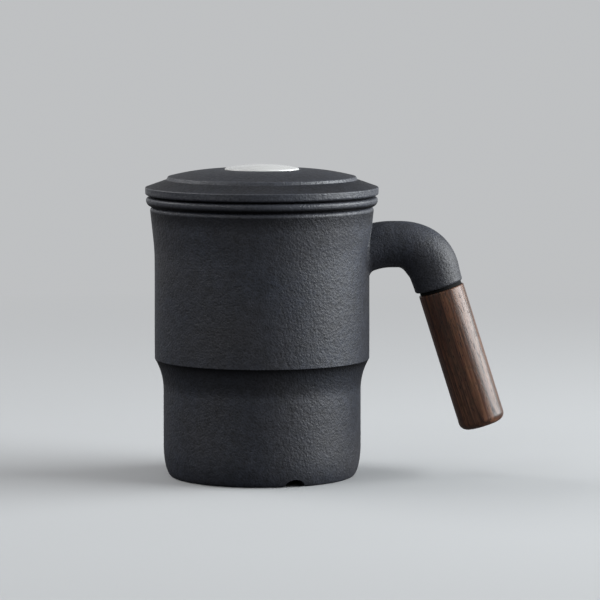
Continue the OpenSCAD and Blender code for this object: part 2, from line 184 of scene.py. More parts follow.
class Finishes(bpy.types.PropertyGroup):
    """Colours and grain of the mug's materials, with the colours of their painted highlight and
    painted shade.
    """

    clay: colour("Clay", (0.042, 0.048, 0.066), "Main colour of the black stoneware")
    clay_warm: colour("Warm clay", (0.052, 0.050, 0.055), "Colour of its warmer patches")
    # The lighter grey of thinner glaze on edges is partly the glaze's own and partly painted
    # highlight.
    clay_thin_and_highlight: colour("Thin glaze and painted highlight", (0.080, 0.085, 0.101), "Colour of thinner, lighter glaze on an edge, partly a painted highlight")
    # Painted shade: this near-black darkens the glaze under edges, in the cove, below the rim and
    # on the lid's top. The random mottling darkens towards it too.
    clay_mottle_and_shade: colour("Mottle and painted shade", (0.009, 0.009, 0.010), "Colour of the dark mottling, and of shade painted under edges")
    clay_pit: colour("Glaze pits", (0.010, 0.010, 0.011), "Colour of the pits between the grains")
    grain_size: length("Grain size", 0.0008, "Width of one grain of the sandy glaze")
    grain_depth: length("Grain depth", 0.00022, "Depth of the sandy glaze's grain")
    patches: share("Patches", 0.6, "How much the warm patches show")
    mottle: share("Mottle", 0.45, "How much the mottling darkens the clay")
    pits: share("Pits", 0.6, "How much the pits show")
    clay_roughness: share("Clay roughness", 0.53, "Roughness of the stoneware")
    heartwood: colour("Heartwood", (0.092, 0.045, 0.023), "Main colour of the grip")
    redwood: colour("Red figure", (0.135, 0.041, 0.026), "Colour of its red patches")
    sapwood: colour("Light grain", (0.330, 0.160, 0.082), "Colour of its light grain")
    latewood: colour("Dark grain", (0.018, 0.008, 0.006), "Colour of its dark grain")
    ring_width: length("Ring width", 0.0021, "Width of one growth ring")
    figure: share("Figure", 0.6, "How much the red figure shows")
    rings: share("Rings", 0.8, "How dark the rings are")
    fibres: share("Fibres", 0.45, "How dark the fibres are")
    pores: share("Pores", 0.85, "How dark the pores are")
    wood_roughness: share("Wood roughness", 0.38, "Roughness of the oiled wood")
    porcelain: colour("Porcelain", (0.83, 0.83, 0.815), "Colour of the white button")
    rubber: colour("Rubber", (0.006, 0.006, 0.006), "Colour of the washer")
    steel: colour("Steel", (0.60, 0.60, 0.61), "Colour of the stud")
    brass: colour("Brass", (0.70, 0.50, 0.22), "Colour of the insert")


class Studio(bpy.types.PropertyGroup):
    """The floor, the lamps and the camera."""

    floor_colour: colour("Floor", (0.58, 0.59, 0.60), "Colour of the floor near the mug")
    bounce_colour: colour("Floor bounce", (0.08, 0.08, 0.084), "Colour that the floor sheds")
    backdrop_colour: colour("Backdrop", (0.52, 0.53, 0.54), "Colour of the floor far from the mug")
    floor_radius: length("Floor radius", 16.0, "Radius of the floor")
    sky_colour: colour("Surround", (0.95, 0.97, 1.0), "Colour of the soft light all round")
    sky_strength: FloatProperty(name="Surround strength", description="Strength of the soft light",
                                default=0.15, min=0.0)
    key_tint: colour("Key tint", (0.95, 0.985, 1.0), "Colour of the large lamp on the right")
    key_power: power("Key light", 30.5, "Power of the large lamp on the right")
    rim_power: power("Rim light", 6.5, "Power of the lamp behind, on the left")
    top_power: power("Top light", 2.2, "Power of the soft lamp overhead")
    fill_power: power("Fill light", 3.4, "Power of the soft lamp in front, on the left")
    camera_distance: length("Camera distance", 1.35, "Distance of the camera from the mug's axis")
    camera_height: length("Camera height", 0.2, "Height of the camera above the table")
    aim_side: length("Aim offset", 0.0147, "How far right of the mug's axis the camera aims")
    aim_height: length("Aim height", 0.0682, "Height above the table at which the camera aims")
    lens: FloatProperty(name="Lens", description="Focal length in millimetres on a 36 mm frame",
                        default=210.0, min=1.0)


class TeaMug(bpy.types.PropertyGroup):
    """All the settings of the tea mug."""

    mug: PointerProperty(type=MugShape)
    handle: PointerProperty(type=HandleShape)
    lid: PointerProperty(type=LidShape)
    finish: PointerProperty(type=Finishes)
    studio: PointerProperty(type=Studio)


# --- Turned outlines and meshes ---

def cosine(degrees):
    """Cosine of an angle in degrees."""
    return math.cos(math.radians(degrees))


def sine(degrees):
    """Sine of an angle in degrees."""
    return math.sin(math.radians(degrees))


PLAIN = (0.0, 0.0, 0.0)     # an arc's glaze mark where its edge is neither lighter nor painted with shade


class Outline:
    """The outline of a turned piece: points of radius, height and a glaze mark there, which runs
    from
    1 where thinner, lighter glaze marks an edge, partly as painted highlight, to -1 where shade is
    painted."""

    def __init__(self):
        self.points = []

    def to(self, radius, height, glaze=0.0):
        self.points.append((radius, height, glaze))

    def arc(self, radius, height, bend, start, end, glaze=PLAIN, steps=10, bend_height=None):
        """An arc about a middle, or a part of an ellipse where bend_height is given. Its glaze is
        given at its start, half way and at its end."""
        up = bend if bend_height is None else bend_height
        first, middle, last = glaze
        for i in range(steps + 1):
            part = i / steps
            angle = start + (end - start) * part
            inner = math.sin(math.pi * part)
            self.to(radius + bend * cosine(angle), height + up * sine(angle),
                    (first + (last - first) * part) * (1 - inner) + middle * inner)

    def corner(self, radius, height, bend, start, end, glaze=PLAIN, steps=10):
        """A rounded corner between faces whose outward normals point at start and end.
        A negative bend fills an inside corner."""
        pull = bend / (1 + cosine(start - end))
        self.arc(radius - pull * (cosine(start) + cosine(end)),
                 height - pull * (sine(start) + sine(end)), bend, start, end, glaze, steps)

    def filled(self, step):
        """The points, with more of them along each stretch longer than step."""
        out = [self.points[0]]
        for a, b in zip(self.points, self.points[1:]):
            gap = math.hypot(b[0] - a[0], b[1] - a[1])
            if gap < TOUCHING:
                continue
            cuts = max(1, math.ceil(gap / step))
            out += [tuple(p + (q - p) * k / cuts for p, q in zip(a, b))
                    for k in range(1, cuts + 1)]
        return out


def even_angles(count):
    """Angles in even steps round the whole circle."""
    return [2 * math.pi * i / count for i in range(count)]


def band(low, high, sides):
    """The faces between two rings of points, which start at the points low and high."""
    return [[low + i, high + i, high + (i + 1) % sides, low + (i + 1) % sides]
            for i in range(sides)]


def put(name, data):
    """A new object in the scene."""
    item = bpy.data.objects.new(name, data)
    bpy.context.scene.collection.objects.link(item)
    return item


def face_towards(item, place_at, aim_at):
    """Places a lamp or the camera and turns it to a point."""
    item.location = place_at
    item.rotation_euler = (Vector(aim_at) - Vector(place_at)).to_track_quat("-Z", "Y").to_euler()


def turned(name, outline, angles, step):
    """A mesh turned about +Z from an outline whose ends may lie on the axis."""
    verts, faces, glaze, rings = [], [], [], []
    for radius, height, amount in outline.filled(step):
        if radius < TOUCHING:
            rings.append([len(verts)] * len(angles))
            verts.append((0.0, 0.0, height))
            glaze.append(amount)
            continue
        rings.append(list(range(len(verts), len(verts) + len(angles))))
        verts += [(radius * math.cos(a), radius * math.sin(a), height) for a in angles]
        glaze += [amount] * len(angles)
    for low, high in zip(rings, rings[1:]):
        for i in range(len(angles)):
            j = (i + 1) % len(angles)
            face = list(dict.fromkeys([low[i], low[j], high[j], high[i]]))
            if len(face) > 2:
                faces.append(face)
    return finished(name, verts, faces, glaze)


def finished(name, verts, faces, glaze):
    """A smooth, evenly shaded object that keeps its glaze marks on its points: thinner, lighter
    glaze, partly painted highlight, and painted shade.
    """
    mesh = bpy.data.meshes.new(name)
    mesh.from_pydata(verts, [], faces)
    mesh.shade_smooth()
    # Positive marks are thinner, lighter glaze, partly painted highlight; negative marks are
    # painted shade.
    for label, sign in (("thin_glaze_and_highlight", 1.0), ("painted_shade", -1.0)):
        values = [max(0.0, sign * amount) for amount in glaze]
        mesh.attributes.new(label, "FLOAT", "POINT").data.foreach_set("value", values)
    mesh.update()
    piece = put(name, mesh)
    shading = piece.modifiers.new("Even shading", "WEIGHTED_NORMAL")
    shading.keep_sharp = True
    return piece


def roughen(piece, amount):
    """Moves the points in and out a little, as a hand-finished wall strays from round."""
    for vert in piece.data.vertices:
        out = Vector((vert.co.x, vert.co.y, 0.0))
        if out.length > WAVE / 10:
            vert.co += out.normalized() * noise.noise(vert.co / WAVE) * amount


def place(piece, body, node):
    """Rides the piece on its body and lets it stand for its CAD node."""
    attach(piece, body)
    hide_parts(node)


def dress(piece, material):
    """Gives a piece its one material."""
    piece.data.materials.clear()
    piece.data.materials.append(material)


# --- Shader building blocks ---

def feed(tree, node, inputs):
    """Sets a node's inputs by name or number. Where a value is a socket, it is linked."""
    for key, value in inputs.items():
        socket = node.inputs[key]
        if isinstance(value, bpy.types.NodeSocket):
            tree.links.new(value, socket)
        elif socket.type == "RGBA":
            socket.default_value = (*value, 1.0)
        else:
            socket.default_value = value


def add(tree, kind, inputs, **settings):
    """A new node with its settings and its inputs."""
    made = tree.nodes.new(kind)
    for key, value in settings.items():
        setattr(made, key, value)
    feed(tree, made, inputs)
    return made


def maths(tree, operation, a, b=0.0, clamp=False):
    """The result of one operation, kept between 0 and 1 if it is clamped."""
    made = add(tree, "ShaderNodeMath", {0: a, 1: b}, operation=operation, use_clamp=clamp)
    return made.outputs[0]


def times(tree, a, b):
    return maths(tree, "MULTIPLY", a, b)


def remap(tree, value, low, high, to_low=0.0, to_high=1.0):
    """The value moved from the range low to high into another range, and kept inside it."""
    return add(tree, "ShaderNodeMapRange", {"Value": value, "From Min": low, "From Max": high,
                                            "To Min": to_low, "To Max": to_high}).outputs[0]


def mixed(tree, factor, a, b):
    """Colour a, turning into colour b as the factor goes from 0 to 1."""
    return add(tree, "ShaderNodeMix", {0: factor, 6: a, 7: b}, data_type="RGBA").outputs[2]


def clouds(tree, where, scale, detail, **more):
    """Soft noise between 0 and 1."""
    return add(tree, "ShaderNodeTexNoise",
               {"Vector": where, "Scale": scale, "Detail": detail, **more}).outputs[0]


def drawn_out(tree, where, across, along, detail, **more):
    """Soft noise with one scale across the Z axis and another along it."""
    at = add(tree, "ShaderNodeMapping", {"Vector": where, "Scale": (across, across, along)})
    return clouds(tree, at.outputs[0], 1.0, detail, **more)


def span(tree, vector):
    """Length of a vector."""
    return add(tree, "ShaderNodeVectorMath", {0: vector}, operation="LENGTH").outputs["Value"]


def off_axis(tree, where):
    """Distance of a place from the Z axis."""
    level = add(tree, "ShaderNodeVectorMath", {0: where, 1: (1.0, 1.0, 0.0)}, operation="MULTIPLY")
    return span(tree, level.outputs[0])


def relief(tree, height, strength, distance):
    """The normal of a surface that rises by a height between 0 and 1 times the distance."""
    return add(tree, "ShaderNodeBump", {"Height": height, "Strength": strength,
                                        "Distance": distance}).outputs["Normal"]


def object_space(tree):
    """The place on a piece, in metres from the mug's foot."""
    return add(tree, "ShaderNodeTexCoord", {}).outputs["Object"]


def grain_group(name, size_label, size, masks):
    """A shader node group that turns a place and a size into masks: its tree and its two ends."""
    tree = bpy.data.node_groups.new(name, "ShaderNodeTree")
    tree.interface.new_socket("Vector", in_out="INPUT", socket_type="NodeSocketVector")
    grain = tree.interface.new_socket(size_label, in_out="INPUT", socket_type="NodeSocketFloat")
    grain.default_value = size
    for label in masks:
        tree.interface.new_socket(label, in_out="OUTPUT", socket_type="NodeSocketFloat")
    return tree, tree.nodes.new("NodeGroupInput").outputs, tree.nodes.new("NodeGroupOutput")


def use_group(tree, name, inputs):
    """The masks of a group with its own values."""
    made = tree.nodes.new("ShaderNodeGroup")
    made.node_tree = bpy.data.node_groups[name]
    feed(tree, made, inputs)
    return made.outputs


# The scales of the glaze's noise, as parts of one over its grain size.
GLAZE_GRAINS, GLAZE_SWELLS, GLAZE_MOTTLE = 1.0, 0.45, 0.26
GRAIN_SHARE = 0.58              # how much of the height the grains give, against the swells
PATCH_SCALE = 34.0              # scale of the warm patches, per metre
# Noise in wood and metal: its scale across and along, per metre, and its detail.
WOOD_WANDER = (60.0, 9.0, 2.0)
WOOD_STREAKS = (900.0, 26.0, 3.0)
WOOD_PORES = (2300.0, 330.0, 1.0)
WOOD_FIBRES = (5200.0, 90.0, 1.0)
WOOD_FIGURE = (420.0, 130.0, 4.0)
TURNING_MARKS = (200.0, 5000.0, 2.0)
WOOD_HEART = (0.017, 0.012, 0.0)    # where the tree's heart lies, from the grip's axis
RING_WANDER = 0.0075            # how far the rings stray from round


def sandy_glaze_group():
    """Grain of a dry, sandy glaze: its height, its darker pits, its mottling, and warm patches."""
    tree, start, end = grain_group("Sandy glaze", "Grain size", 0.001,
                                   ("Height", "Pits", "Mottle", "Patches"))
    where = start["Vector"]
    fine, coarse, broad = (maths(tree, "DIVIDE", part, start["Grain size"])
                           for part in (GLAZE_GRAINS, GLAZE_SWELLS, GLAZE_MOTTLE))
    grains = clouds(tree, where, fine, 2.0, Roughness=0.55)
    swells = clouds(tree, where, coarse, 1.0)
    both = maths(tree, "ADD", times(tree, grains, GRAIN_SHARE),
                 times(tree, swells, 1 - GRAIN_SHARE))
    mottle = clouds(tree, where, broad, 3.0)
    patches = clouds(tree, where, PATCH_SCALE, 3.0)
    feed(tree, end, {"Height": remap(tree, both, 0.30, 0.70),
                     "Pits": remap(tree, grains, 0.50, 0.33),
                     "Mottle": remap(tree, mottle, 0.32, 0.68),
                     "Patches": remap(tree, patches, 0.36, 0.66)})


def long_grain_group():
    """Solid wood: rings about a heart outside the piece, long streaks, short pores, fine fibres,
    and the slow figure that crosses them."""
    tree, start, end = grain_group("Long grain", "Ring width", 0.002,
                                   ("Rings", "Streaks", "Pores", "Fibres", "Figure"))
    where = start["Vector"]
    from_heart = add(tree, "ShaderNodeVectorMath", {0: where, 1: WOOD_HEART},
                     operation="SUBTRACT").outputs[0]
    stray = maths(tree, "SUBTRACT", drawn_out(tree, where, *WOOD_WANDER), 0.5)
    strayed = maths(tree, "ADD", off_axis(tree, from_heart), times(tree, stray, RING_WANDER))
    year = maths(tree, "FRACT", maths(tree, "DIVIDE", strayed, start["Ring width"]))
    darkening = maths(tree, "POWER", remap(tree, year, 0.35, 0.97), 2.0)
    streaks = drawn_out(tree, where, *WOOD_STREAKS)
    pores = drawn_out(tree, where, *WOOD_PORES)
    figure = drawn_out(tree, where, *WOOD_FIGURE, Roughness=0.6, Distortion=1.2)
    feed(tree, end, {"Rings": times(tree, darkening, remap(tree, year, 1.0, 0.97)),
                     "Streaks": remap(tree, streaks, 0.37, 0.66),
                     "Pores": remap(tree, pores, 0.60, 0.69),
                     "Fibres": drawn_out(tree, where, *WOOD_FIBRES),
                     "Figure": remap(tree, figure, 0.34, 0.66)})


# --- Materials ---

WORN_GLOSS = 0.24               # how much smoother the glaze is on its thinner, lighter edges
SHADE_METAL = 0.85               # how metallic the glaze is where shade is painted, which darkens its sheen there: painted shade in the reflection too
GRAIN_STRENGTH = 0.75           # strength of the glaze's relief
WOOD_STRENGTH = 0.4             # strength of the wood's relief
WOOD_DEPTH = 0.00006            # depth of the wood's relief
PORE_DEPTH = 0.8                # how deep a pore is in it
PORE_ROUGHNESS = 0.25           # how much rougher a pore is
PORCELAIN_WAVE = 0.0003         # depth of the porcelain's unevenness
TURNING_DEPTH = 0.00003         # depth of the turning marks in bare metal


def surface(name):
    """A new material, its node tree and its Principled BSDF."""
    material = bpy.data.materials.new(name)
    material.use_nodes = True
    return material, material.node_tree, material.node_tree.nodes["Principled BSDF"]


def shaded(tint, part):
    """A colour, darker or lighter by a factor."""
    return tuple(c * part for c in tint)


def kept_highlight_and_shade(tree):
    """Where the glaze is thinner and lighter, partly as painted highlight, and where shade is
    painted, as a turned piece keeps them on its points.
    """
    return [add(tree, "ShaderNodeAttribute", {}, attribute_name=label).outputs["Fac"]
            for label in ("thin_glaze_and_highlight", "painted_shade")]


def flange_highlight_and_shade(tree):
    """The same on the infuser: thinner, lighter glaze on the flange's upper edge, partly painted
    highlight, and painted shade under the flange.
    """
    at = object_space(tree)
    height = add(tree, "ShaderNodeSeparateXYZ", {"Vector": at}).outputs["Z"]
    outside = remap(tree, off_axis(tree, at), FLANGE.x - 0.0026, FLANGE.x - 0.0012)
    # Thinner, lighter glaze on the flange's upper edge: partly painted highlight.
    thin_and_highlight = remap(tree, height, FLANGE.z - 0.0024, FLANGE.z - 0.0007)
    # Painted shade under the flange's overhang.
    painted_shade_mask = remap(tree, height, FLANGE.z - 0.0017, FLANGE.z - 0.0028)
    return times(tree, outside, thin_and_highlight), times(tree, outside, painted_shade_mask)


def stoneware(finish, name, highlight_and_shade_places):
    """Black stoneware under a dry glaze that thins to a glossier, lighter grey on its edges, partly
    as painted highlight, with painted shade under edges and on surfaces the light misses.
    """
    material, tree, shader = surface(name)
    thin_and_highlight, painted_shade_mask = highlight_and_shade_places(tree)
    glaze = use_group(tree, "Sandy glaze", {"Vector": object_space(tree),
                                            "Grain size": finish.grain_size})
    grain = glaze["Height"]
    tint = mixed(tree, times(tree, glaze["Patches"], finish.patches), finish.clay, finish.clay_warm)
    tint = mixed(tree, times(tree, glaze["Mottle"], finish.mottle), tint, finish.clay_mottle_and_shade)
    tint = mixed(tree, times(tree, glaze["Pits"], finish.pits), tint, finish.clay_pit)
    # Lighter grey on the edges: partly thinner glaze, partly painted highlight.
    worn_and_highlight = maths(tree, "MULTIPLY", thin_and_highlight, remap(tree, grain, 0.1, 0.9, 0.35, 0.9), clamp=True)
    tint = mixed(tree, worn_and_highlight, tint, finish.clay_thin_and_highlight)
    # Painted shade: darker glaze where shade falls, under edges and on surfaces the light misses.
    tint = mixed(tree, painted_shade_mask, tint, finish.clay_mottle_and_shade)
    dry = remap(tree, grain, 0.0, 1.0, finish.clay_roughness + 0.08, finish.clay_roughness - 0.05)
    feed(tree, shader, {"Base Color": tint,
                        "Roughness": maths(tree, "SUBTRACT", dry, times(tree, worn_and_highlight, WORN_GLOSS)),
                        "Normal": relief(tree, grain, GRAIN_STRENGTH, finish.grain_depth),
                        "Specular IOR Level": 0.5,
                        # the painted shade is also made partly metallic, which darkens its sheen:
                        # painted shade in the reflection too
                        "Metallic": times(tree, painted_shade_mask, SHADE_METAL)})
    return material


def walnut(finish):
    """Dark oiled wood with its grain along the grip."""
    material, tree, shader = surface("oiled walnut")
    along_grip = add(tree, "ShaderNodeAttribute", {}, attribute_name="along_grip").outputs["Vector"]
    wood = use_group(tree, "Long grain", {"Vector": along_grip, "Ring width": finish.ring_width})
    tint = mixed(tree, wood["Streaks"], finish.heartwood, finish.sapwood)
    tint = mixed(tree, times(tree, wood["Figure"], finish.figure), tint, finish.redwood)
    for shade in (times(tree, wood["Rings"], finish.rings),
                  remap(tree, wood["Figure"], 0.45, 0.0, 0.0, 0.4),
                  remap(tree, wood["Fibres"], 0.35, 0.65, 0.0, finish.fibres),
                  times(tree, wood["Pores"], finish.pores)):
        tint = mixed(tree, shade, tint, finish.latewood)
    raised = maths(tree, "ADD", times(tree, wood["Fibres"], 0.4), wood["Figure"])
    height = maths(tree, "SUBTRACT", raised, times(tree, wood["Pores"], PORE_DEPTH))
    oiled = remap(tree, wood["Streaks"], 0.0, 1.0,
                  finish.wood_roughness - 0.03, finish.wood_roughness + 0.05)
    rough = maths(tree, "ADD", oiled, times(tree, wood["Pores"], PORE_ROUGHNESS))
    feed(tree, shader, {"Base Color": tint, "Roughness": rough,
                        "Normal": relief(tree, height, WOOD_STRENGTH, WOOD_DEPTH),
                        "Specular IOR Level": 0.55,
                        "Coat Weight": 0.2, "Coat Roughness": 0.3})
    return material


def porcelain(finish):
    """White glazed porcelain with a faint unevenness in its gloss."""
    material, tree, shader = surface("white porcelain")
    cloud = clouds(tree, object_space(tree), 90.0, 3.0)
    tint = mixed(tree, remap(tree, cloud, 0.35, 0.65), finish.porcelain,
                 shaded(finish.porcelain, 0.98))
    feed(tree, shader, {"Base Color": tint, "Normal": relief(tree, cloud, 0.02, PORCELAIN_WAVE),
                        "Roughness": remap(tree, cloud, 0.3, 0.7, 0.12, 0.14),
                        "Coat Weight": 0.4, "Coat Roughness": 0.05})
    return material


def rubber(finish):
    """Matte black rubber with a trace of dust."""
    material, tree, shader = surface("washer rubber")
    dust = clouds(tree, object_space(tree), 1400.0, 2.0)
    tint = mixed(tree, remap(tree, dust, 0.4, 0.7), finish.rubber, shaded(finish.rubber, 1.8))
    feed(tree, shader, {"Base Color": tint, "Roughness": 0.82, "Specular IOR Level": 0.15})
    return material


def turned_metal(name, tint, rough):
    """Bare metal with fine turning marks round its length."""
    material, tree, shader = surface(name)
    marks = drawn_out(tree, object_space(tree), *TURNING_MARKS)
    feed(tree, shader, {"Base Color": mixed(tree, marks, tint, shaded(tint, 0.7)), "Metallic": 1.0,
                        "Normal": relief(tree, marks, 0.3, TURNING_DEPTH),
                        "Roughness": remap(tree, marks, 0.3, 0.7, rough, rough + 0.15)})
    return material


# --- The mug ---

def leaning_radius(mug, height, depth=0.0):
    """Radius of the wall's leaning part at a height, drawn in by depth."""
    return mug.upper_radius + (height - mug.flare_height) * math.tan(mug.flare_lean) \
        - depth / math.cos(mug.flare_lean)


def wall_radius(mug, height):
    """Radius of the outer wall at a height above the step."""
    bend = mug.flare_ease * math.tan(mug.flare_lean / 2)
    if height <= mug.flare_height - bend:
        return mug.upper_radius
    if height < mug.flare_height + bend:
        rise = height - mug.flare_height + bend
        return mug.upper_radius + mug.flare_ease - math.sqrt(mug.flare_ease ** 2 - rise ** 2)
    return leaning_radius(mug, height)


def mug_outline(mug):
    """The mug's outline, from the middle of its underside round its rim to that of its floor."""
    lean = math.degrees(mug.flare_lean)
    step = mug.upper_radius - mug.lower_radius
    contact = mug.lower_radius - mug.foot_draw
    hollow = contact - mug.foot_width - mug.foot_hollow
    cove_low = mug.lip_height - math.sqrt(mug.cove ** 2 - (mug.cove - step) ** 2)
    cove_turn = math.degrees(math.acos((mug.cove - step + mug.lip_round)
                                       / (mug.cove + mug.lip_round)))
    lip = cove_low + (mug.cove + mug.lip_round) * sine(cove_turn)
    bend_low = mug.flare_height - mug.flare_ease * math.tan(mug.flare_lean / 2)
    inner_bend = mug.cove + mug.wall + mug.step_ease
    inner_turn = math.degrees(math.acos(1 - step / inner_bend))
    floor = mug.foot_hollow + mug.floor_thickness

    outline = Outline()
    outline.to(0.0, mug.foot_hollow)
    outline.arc(hollow, 0.0, mug.foot_hollow, 90, 8)
    # Lighter glaze on the foot ring's inner edge: partly painted highlight.
    outline.corner(contact - mug.foot_width, 0.0, SMALL_ROUND, 180, 270, (0.0, 0.6, 0.0), 4)
    outline.arc(contact, mug.foot_round, mug.foot_draw, -90, 0, steps=14,
                bend_height=mug.foot_round)
    # Painted shade in the cove under the step's lip.
    outline.arc(mug.lower_radius + mug.cove, cove_low, mug.cove, 180, 180 - cove_turn,
                (0.0, -0.35, -1.0), 24)
    outline.arc(mug.upper_radius - mug.lip_round, lip, mug.lip_round, -cove_turn, 0, steps=6)
    outline.arc(mug.upper_radius + mug.flare_ease, bend_low, mug.flare_ease, 180, 180 - lean)
    # Painted shade below the rim, where the flange casts its shadow.
    for below, glaze in ((0.0080, 0.0), (0.0055, -0.25), (0.0035, -0.5), (0.0019, -0.6)):
        outline.to(leaning_radius(mug, RIM - below), RIM - below, glaze)
    # On the rim: painted shade at its side and under the flange, and thinner, lighter glaze over
    # its edges, partly painted highlight.
    outline.corner(leaning_radius(mug, RIM), RIM, mug.rim_round, -lean, 90, (-0.3, 0.8, -1.0), 14)
    outline.corner(leaning_radius(mug, RIM, mug.wall), RIM, mug.rim_inner_round, 90, 180 - lean,
                   (0.0, 0.8, 0.0), 8)
    outline.arc(mug.upper_radius + mug.flare_ease, bend_low, mug.flare_ease + mug.wall,
                180 - lean, 180)
    outline.arc(mug.upper_radius - mug.wall - mug.step_ease,
                cove_low + inner_bend * sine(inner_turn), mug.step_ease, 0, -inner_turn, steps=8)
    outline.arc(mug.lower_radius + mug.cove, cove_low, mug.cove + mug.wall, 180 - inner_turn, 180,
                steps=14)
    outline.corner(mug.lower_radius - mug.wall, floor, -mug.floor_round, 180, 90, steps=14)
    outline.to(0.0, floor)
    return outline


def notch_directions(mug):
    """The direction of each drain notch from the handle."""
    return [mug.notch_turn + 2 * math.pi * i / mug.notch_count for i in range(mug.notch_count)]


def notched_angles(mug, count):
    """Even angles round the mug, closer together across each drain notch."""
    margin = 1.3
    half = margin * mug.notch_width / 2 / (mug.lower_radius - mug.foot_draw)
    angles = []
    for middle in notch_directions(mug):
        angles += [middle - half + 2 * half * i / NOTCH_SIDES for i in range(NOTCH_SIDES + 1)]

    def near_notch(angle):
        return any(abs(math.remainder(angle - m, 2 * math.pi)) < half * 1.05
                   for m in notch_directions(mug))

    angles += [a for a in even_angles(count) if not near_notch(a)]
    return sorted(a % (2 * math.pi) for a in angles)


def foot_draw_in(mug, height):
    """How far the foot's outer rounding lies inside the lower wall at a height."""
    part = min(1.0, max(0.0, 1 - height / mug.foot_round))
    return mug.foot_draw * (1 - math.sqrt(1 - part ** 2))


def cut_notches(piece, mug):
    """Lifts the foot ring over each drain notch, with the soft edge of a glazed cut."""
    radius = ((mug.notch_width / 2) ** 2 + mug.notch_height ** 2) / (2 * mug.notch_height)
    contact = mug.lower_radius - mug.foot_draw
    inner = contact - mug.foot_width - mug.foot_hollow
    lifted_part = 0.7       # how much of the foot's rounding a notch lifts
    slack = 1e-5
    for vert in piece.data.vertices:
        for middle in notch_directions(mug):
            along = vert.co.x * math.cos(middle) + vert.co.y * math.sin(middle)
            across = -vert.co.x * math.sin(middle) + vert.co.y * math.cos(middle)
            if along < inner or abs(across) >= radius:
                continue
            arch = math.sqrt(radius ** 2 - across ** 2) + mug.notch_height - radius
            lift = 0.5 * (arch + math.sqrt(arch ** 2 + mug.notch_soft ** 2))
            outside = math.hypot(along, across) > contact - slack
            reach = mug.foot_round * lifted_part if outside else mug.foot_hollow
            if vert.co.z < reach:
                raised = vert.co.z + lift * (1 - vert.co.z / reach)
                if outside:
                    out = math.hypot(vert.co.x, vert.co.y)
                    moved = foot_draw_in(mug, vert.co.z) - foot_draw_in(mug, raised)
                    vert.co.x *= 1 + moved / out
                    vert.co.y *= 1 + moved / out
                vert.co.z = raised


def build_mug(settings, material):
    """The stepped mug, turned in one piece, with its drain notches."""
    mug = settings.mug
    piece = turned("glazed_mug", mug_outline(mug), notched_angles(mug, MUG_SIDES), WIDE_STEP)
    cut_notches(piece, mug)
    roughen(piece, mug.unevenness)
    dress(piece, material)
    place(piece, "mug", "mug_body")


# --- The handle ---

def elbow_end(settings):
    """The middle of the elbow's end: +Z points on towards the grip's free end."""
    mug, handle = settings.mug, settings.handle
    lean = handle.grip_tilt
    bend_turn = math.pi / 2 - lean
    x = mug.upper_radius + handle.neck_length + handle.bend * math.sin(bend_turn) \
        + handle.tail_length * math.sin(lean)
    z = handle.neck_height - handle.bend + handle.bend * math.cos(bend_turn) \
        - handle.tail_length * math.cos(lean)
    return Matrix.Translation((x, 0.0, z)) @ Matrix.Rotation(math.pi - lean, 4, "Y")


def grip_line(settings):
    """The grip's line, which lies a little outside the middle of the elbow's end."""
    return elbow_end(settings) @ Matrix.Translation((-settings.handle.grip_shift, 0.0, 0.0))


